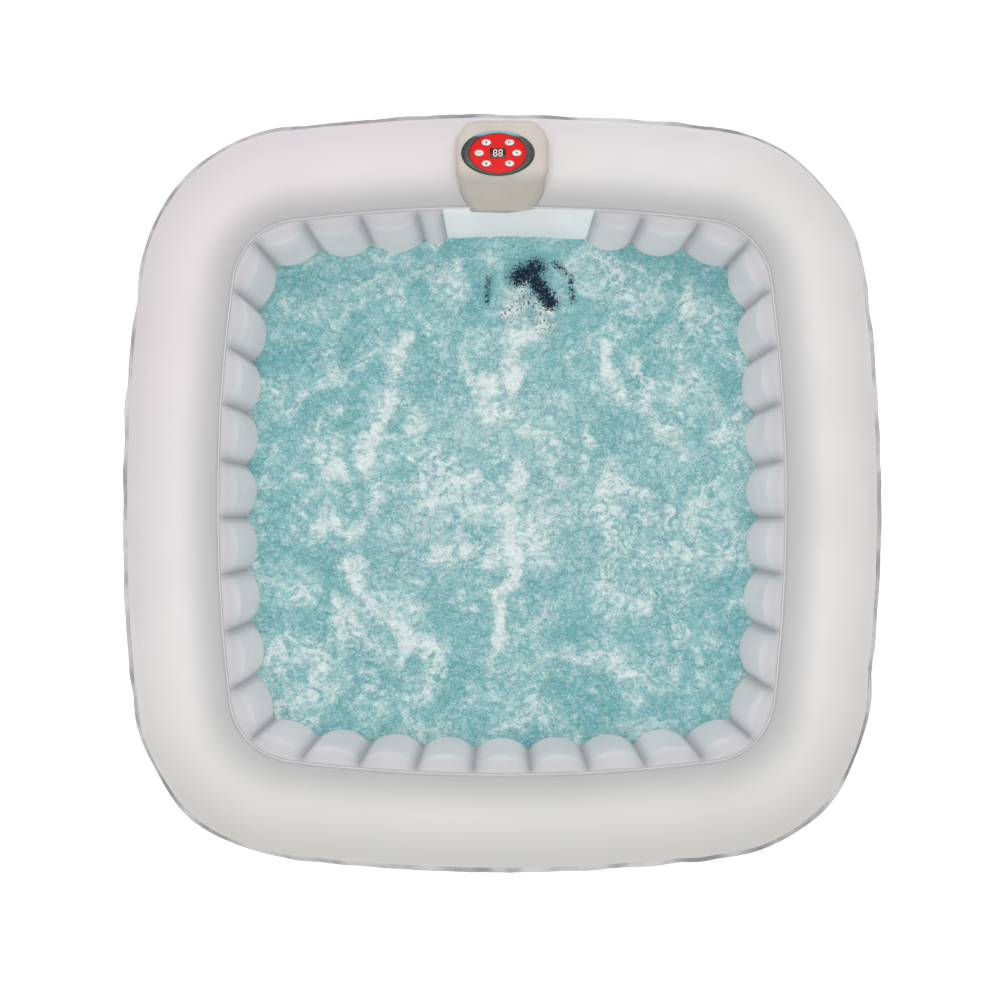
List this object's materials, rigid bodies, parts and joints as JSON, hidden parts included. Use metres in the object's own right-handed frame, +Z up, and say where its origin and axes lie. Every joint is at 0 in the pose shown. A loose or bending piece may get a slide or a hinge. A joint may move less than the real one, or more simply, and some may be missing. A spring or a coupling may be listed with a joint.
{
  "type": "inflatable hot tub",
  "caption": "Square inflatable hot tub with a padded rim roll, ribbed inner wall and a control head over a built-in pump, heater, filter and bubble unit.",
  "frame": {"origin": "on the ground under the middle of the tub", "axes": "+Z up; +Y towards the side that holds the control unit; +X to the right seen by a bather facing the controls"},
  "size_m": [1.58, 1.58, 0.6891],
  "materials": {
    "vinyl": "off-white laminated PVC, satin",
    "lining": "pale grey-white laminated PVC, satin, wet",
    "seam_vinyl": "welded PVC seam, glossy",
    "cover_plastic": "warm grey moulded plastic, fine texture",
    "housing_plastic": "dark grey moulded plastic",
    "bezel_plastic": "dark green-grey gloss plastic",
    "overlay_red": "red gloss overlay",
    "button_white": "white moulded button",
    "smoked_window": "smoked display window, polished",
    "display_plastic": "black moulded plastic",
    "board_green": "green circuit board",
    "filter_navy": "navy moulded plastic",
    "filter_paper": "pleated spunbond filter medium",
    "filter_blue": "blue moulded end cap",
    "pump_black": "black glass-filled plastic",
    "steel": "brushed stainless steel",
    "hose_grey": "grey reinforced hose"
  },
  "bodies": {
    "tub": {"base_sheet": "vinyl", "base_weld_seam": "seam_vinyl", "floor_sheet": "lining", "outer_wall": "vinyl", "outer_weld_seam": "seam_vinyl", "rim_roll": "vinyl", "inner_weld_seam": "seam_vinyl", "inner_wall": "lining", "inner_wall_panel": "lining", "brace_webs": "vinyl", "bubble_channel": "lining", "control_head": "cover_plastic", "unit_housing": "housing_plastic", "service_cover": "cover_plastic", "service_screw_1": "steel", "service_screw_2": "steel", "service_screw_3": "steel", "service_screw_4": "steel", "cable_gland": "pump_black", "panel_bezel": "bezel_plastic", "panel_overlay": "overlay_red", "display_window": "smoked_window", "display_module": "display_plastic", "control_board": "board_green", "pump_casing": "pump_black", "pump_motor": "pump_black", "pump_cradle": "housing_plastic", "heater_tube": "steel", "heater_element": "steel", "heater_bracket": "housing_plastic", "temperature_probe": "steel", "blower_casing": "pump_black", "blower_motor": "pump_black", "suction_pipe": "hose_grey", "heater_feed_pipe": "hose_grey", "return_pipe": "hose_grey", "bubble_air_hose": "hose_grey", "bubble_elbow": "hose_grey", "power_board": "board_green", "filter_base": "filter_navy", "return_nozzle": "filter_navy", "air_valve_body": "cover_plastic", "drain_pipe": "cover_plastic"},
    "button_heater": {"button_heater": "button_white"},
    "button_filter": {"button_filter": "button_white"},
    "button_lock": {"button_lock": "button_white"},
    "button_bubbles": {"button_bubbles": "button_white"},
    "button_warmer": {"button_warmer": "button_white"},
    "button_cooler": {"button_cooler": "button_white"},
    "impeller": {"pump_impeller": "steel"},
    "fan": {"blower_fan": "display_plastic"},
    "filter_cover": {"filter_cover": "filter_navy"},
    "filter_ring": {"filter_locking_ring": "filter_navy"},
    "cartridge": {"filter_cartridge": "filter_paper", "filter_end_cap_back": "filter_blue", "filter_end_cap_front": "filter_blue"},
    "air_cap": {"air_valve_cap": "cover_plastic"},
    "air_plunger": {"air_valve_plunger": "housing_plastic"},
    "drain_cap": {"drain_cap": "cover_plastic"},
    "drain_plug": {"drain_plug": "cover_plastic"}
  },
  "joints": [
    {"name": "button_heater_press", "type": "slide", "parent": "tub", "child": "button_heater", "axis": [0, 0.1752, -0.9845], "range_m": [0, 0.001], "stiffness_N_per_m": 400, "springref_m": -0.0005},
    {"name": "button_filter_press", "type": "slide", "parent": "tub", "child": "button_filter", "axis": [0, 0.1752, -0.9845], "range_m": [0, 0.001], "stiffness_N_per_m": 400, "springref_m": -0.0005},
    {"name": "button_lock_press", "type": "slide", "parent": "tub", "child": "button_lock", "axis": [0, 0.1752, -0.9845], "range_m": [0, 0.001], "stiffness_N_per_m": 400, "springref_m": -0.0005},
    {"name": "button_bubbles_press", "type": "slide", "parent": "tub", "child": "button_bubbles", "axis": [0, 0.1752, -0.9845], "range_m": [0, 0.001], "stiffness_N_per_m": 400, "springref_m": -0.0005},
    {"name": "button_warmer_press", "type": "slide", "parent": "tub", "child": "button_warmer", "axis": [0, 0.1752, -0.9845], "range_m": [0, 0.001], "stiffness_N_per_m": 400, "springref_m": -0.0005},
    {"name": "button_cooler_press", "type": "slide", "parent": "tub", "child": "button_cooler", "axis": [0, 0.1752, -0.9845], "range_m": [0, 0.001], "stiffness_N_per_m": 400, "springref_m": -0.0005},
    {"name": "pump_spin", "type": "hinge", "parent": "tub", "child": "impeller", "pos_m": [0.067, 0.68, 0.11], "axis": [0, 1, 0], "continuous": true},
    {"name": "blower_spin", "type": "hinge", "parent": "tub", "child": "fan", "pos_m": [0.105, 0.685, 0.47], "axis": [0, 0, 1], "continuous": true},
    {"name": "filter_cover_pull", "type": "slide", "parent": "tub", "child": "filter_cover", "axis": [0, -1, 0], "range_m": [0, 0.26]},
    {"name": "filter_ring_twist", "type": "hinge", "parent": "filter_cover", "child": "filter_ring", "pos_m": [0.067, 0.56, 0.24], "axis": [0, -1, 0], "range_deg": [-45, 0]},
    {"name": "cartridge_pull", "type": "slide", "parent": "tub", "child": "cartridge", "axis": [0, -1, 0], "range_m": [0, 0.13]},
    {"name": "air_cap_pull", "type": "slide", "parent": "tub", "child": "air_cap", "axis": [-0.1029, 0.9947, 0], "range_m": [0, 0.05]},
    {"name": "air_plunger_press", "type": "slide", "parent": "tub", "child": "air_plunger", "axis": [0.1029, -0.9947, 0], "range_m": [0, 0.001], "stiffness_N_per_m": 400, "springref_m": -0.0005},
    {"name": "drain_cap_pull", "type": "slide", "parent": "tub", "child": "drain_cap", "axis": [-0.9976, -0.0687, 0], "range_m": [0, 0.05]},
    {"name": "drain_plug_pull", "type": "slide", "parent": "tub", "child": "drain_plug", "axis": [0.9976, 0.0687, 0], "range_m": [0, 0.06]}
  ],
  "couplings": [
    {"joint": "cartridge_pull", "follows": "filter_cover_pull", "ratio": 0.5}
  ]
}
